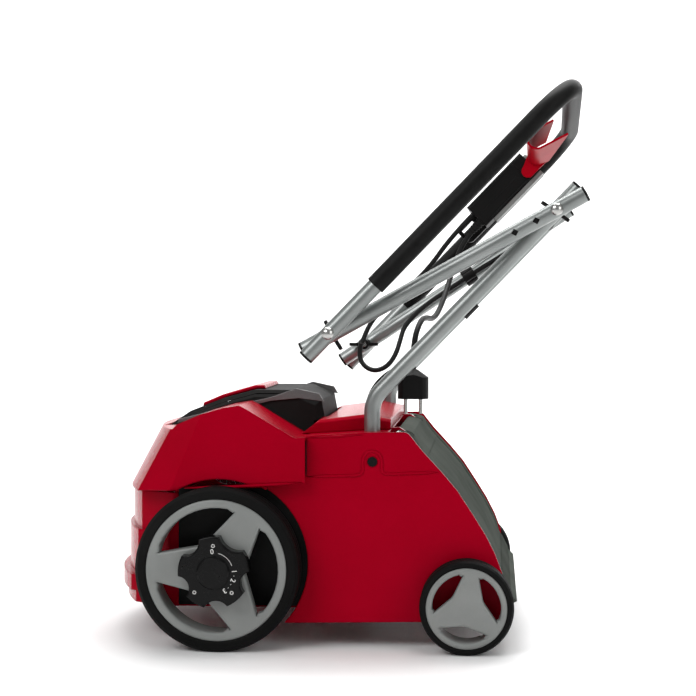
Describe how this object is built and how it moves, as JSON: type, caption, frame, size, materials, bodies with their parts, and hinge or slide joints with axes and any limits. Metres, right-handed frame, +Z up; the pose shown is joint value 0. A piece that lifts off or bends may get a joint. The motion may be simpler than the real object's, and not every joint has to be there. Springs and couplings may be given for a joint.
{
  "type": "electric lawn scarifier",
  "caption": "Electric lawn scarifier with a red wheeled housing, a depth knob on the front wheel, a rear discharge flap and a twice-folded tubular handle with a switch lever.",
  "frame": {"origin": "on the ground, below the middle of the machine's bounding box", "axes": "+Z up, -X the way it travels, +X the operator's side, +Y the operator's right"},
  "size_m": [0.6119, 0.4996, 0.6997],
  "materials": {
    "red_plastic": "glossy",
    "black_plastic": "semi-gloss",
    "grey_plastic": "satin",
    "wheel_grey": "satin",
    "tyre_black": "matt",
    "flap_grey": "satin",
    "lever_red": "glossy",
    "tube_silver": "satin",
    "zinc_steel": "bright",
    "cord_rubber": "matt",
    "grip_foam_black": "matt"
  },
  "bodies": {
    "housing": {"deck_shell": "red_plastic", "hood_shell": "red_plastic", "rear_deck_cover": "red_plastic", "motor_cover": "black_plastic", "motor_cover_cap": "red_plastic", "cover_trim": "grey_plastic", "wheel_arch_liners": "black_plastic", "lower_strut_left": "tube_silver", "lower_strut_right": "tube_silver", "lower_strut_caps": "black_plastic", "strut_screws": "black_plastic", "rear_axle": "zinc_steel", "shaft_bearings": "zinc_steel", "motor_stator": "zinc_steel", "drive_belt": "cord_rubber", "flap_hinge_pin": "zinc_steel", "flap_spring": "zinc_steel", "cable_grommet": "black_plastic", "motor_cable_lower": "cord_rubber", "lower_cable_clip": "black_plastic"},
    "depth_axle": {"front_axle": "zinc_steel", "depth_knob": "black_plastic", "knob_screws": "zinc_steel", "axle_end_cap": "black_plastic"},
    "front_wheel_left": {"front_wheel_left_rim": "wheel_grey", "front_wheel_left_tyre": "tyre_black"},
    "front_wheel_right": {"front_wheel_right_rim": "wheel_grey", "front_wheel_right_tyre": "tyre_black"},
    "rear_wheel_left": {"rear_wheel_left_rim": "wheel_grey", "rear_wheel_left_tyre": "tyre_black"},
    "rear_wheel_right": {"rear_wheel_right_rim": "wheel_grey", "rear_wheel_right_tyre": "tyre_black"},
    "flap": {"discharge_flap": "flap_grey"},
    "middle_section": {"middle_strut_left": "tube_silver", "middle_strut_right": "tube_silver", "middle_strut_caps": "black_plastic", "lower_fold_bolts": "zinc_steel", "motor_cable_middle": "cord_rubber", "middle_cable_clip": "black_plastic"},
    "upper_section": {"upper_bar": "tube_silver", "upper_bar_caps": "black_plastic", "grip_foam": "grip_foam_black", "upper_fold_bolts": "zinc_steel", "switch_box": "black_plastic", "switch_box_plate": "grey_plastic", "strain_relief_hook": "black_plastic", "motor_cable_upper": "cord_rubber", "mains_cord": "cord_rubber", "mains_plug": "black_plastic", "plug_pins": "zinc_steel"},
    "lever": {"switch_lever": "lever_red"},
    "lock_button_body": {"lock_button": "grey_plastic"},
    "nut_lower_left": {"wing_nut_lower_left": "black_plastic"},
    "nut_lower_right": {"wing_nut_lower_right": "black_plastic"},
    "nut_upper_left": {"wing_nut_upper_left": "black_plastic"},
    "nut_upper_right": {"wing_nut_upper_right": "black_plastic"},
    "rotor": {"motor_rotor": "zinc_steel"},
    "roller": {"roller_drum": "zinc_steel", "roller_blades": "zinc_steel", "driven_pulley": "zinc_steel"}
  },
  "joints": [
    {"name": "depth_adjust", "type": "hinge", "parent": "housing", "child": "depth_axle", "pos_m": [-0.1446, 0, 0.1035], "axis": [0, -1, 0], "range_deg": [0, 150]},
    {"name": "front_left_roll", "type": "hinge", "parent": "depth_axle", "child": "front_wheel_left", "pos_m": [-0.1446, -0.208, 0.1], "axis": [0, 1, 0], "continuous": true},
    {"name": "front_right_roll", "type": "hinge", "parent": "depth_axle", "child": "front_wheel_right", "pos_m": [-0.1446, 0.208, 0.1], "axis": [0, 1, 0], "continuous": true},
    {"name": "rear_left_roll", "type": "hinge", "parent": "housing", "child": "rear_wheel_left", "pos_m": [0.1581, -0.211, 0.057], "axis": [0, 1, 0], "continuous": true},
    {"name": "rear_right_roll", "type": "hinge", "parent": "housing", "child": "rear_wheel_right", "pos_m": [0.1581, 0.211, 0.057], "axis": [0, 1, 0], "continuous": true},
    {"name": "flap_open", "type": "hinge", "parent": "housing", "child": "flap", "pos_m": [0.072, 0, 0.258], "axis": [0, -1, 0], "range_deg": [0, 55], "stiffness_Nm_per_rad": 0.4, "springref_deg": -34.38},
    {"name": "middle_fold", "type": "hinge", "parent": "housing", "child": "middle_section", "pos_m": [0.2665, 0, 0.537], "axis": [0, 1, 0], "range_deg": [0, 162.75]},
    {"name": "upper_fold", "type": "hinge", "parent": "middle_section", "child": "upper_section", "pos_m": [-0.0033, 0, 0.374], "axis": [-0.0347, -0.9976, 0.0596], "range_deg": [0, 149]},
    {"name": "lever_squeeze", "type": "hinge", "parent": "upper_section", "child": "lever", "pos_m": [0.23518, 0.07541, 0.61533], "axis": [-0.0477, -0.9978, 0.0463], "range_deg": [0, 20], "stiffness_Nm_per_rad": 0.6, "springref_deg": -22.92},
    {"name": "lock_press", "type": "slide", "parent": "upper_section", "child": "lock_button_body", "axis": [-0.6965, 0, -0.7175], "range_m": [0, 0.005], "stiffness_N_per_m": 400, "springref_m": -0.004},
    {"name": "nut_lower_left_turn", "type": "hinge", "parent": "middle_section", "child": "nut_lower_left", "pos_m": [0.2665, -0.144, 0.537], "axis": [0, 1, 0], "continuous": true},
    {"name": "nut_lower_right_turn", "type": "hinge", "parent": "middle_section", "child": "nut_lower_right", "pos_m": [0.2665, 0.144, 0.537], "axis": [0, 1, 0], "continuous": true},
    {"name": "nut_upper_left_turn", "type": "hinge", "parent": "upper_section", "child": "nut_upper_left", "pos_m": [-0.00901, -0.164, 0.38379], "axis": [0.0347, 0.9976, -0.0596], "continuous": true},
    {"name": "nut_upper_right_turn", "type": "hinge", "parent": "upper_section", "child": "nut_upper_right", "pos_m": [0.00241, 0.164, 0.36421], "axis": [0.0347, 0.9976, -0.0596], "continuous": true},
    {"name": "roller_spin", "type": "hinge", "parent": "housing", "child": "roller", "pos_m": [0.02, 0, 0.086], "axis": [0, 1, 0], "continuous": true},
    {"name": "rotor_spin", "type": "hinge", "parent": "housing", "child": "rotor", "pos_m": [-0.15, 0, 0.228], "axis": [0, 1, 0], "continuous": true}
  ],
  "couplings": [
    {"joint": "rotor_spin", "follows": "roller_spin", "ratio": 2.4286}
  ]
}
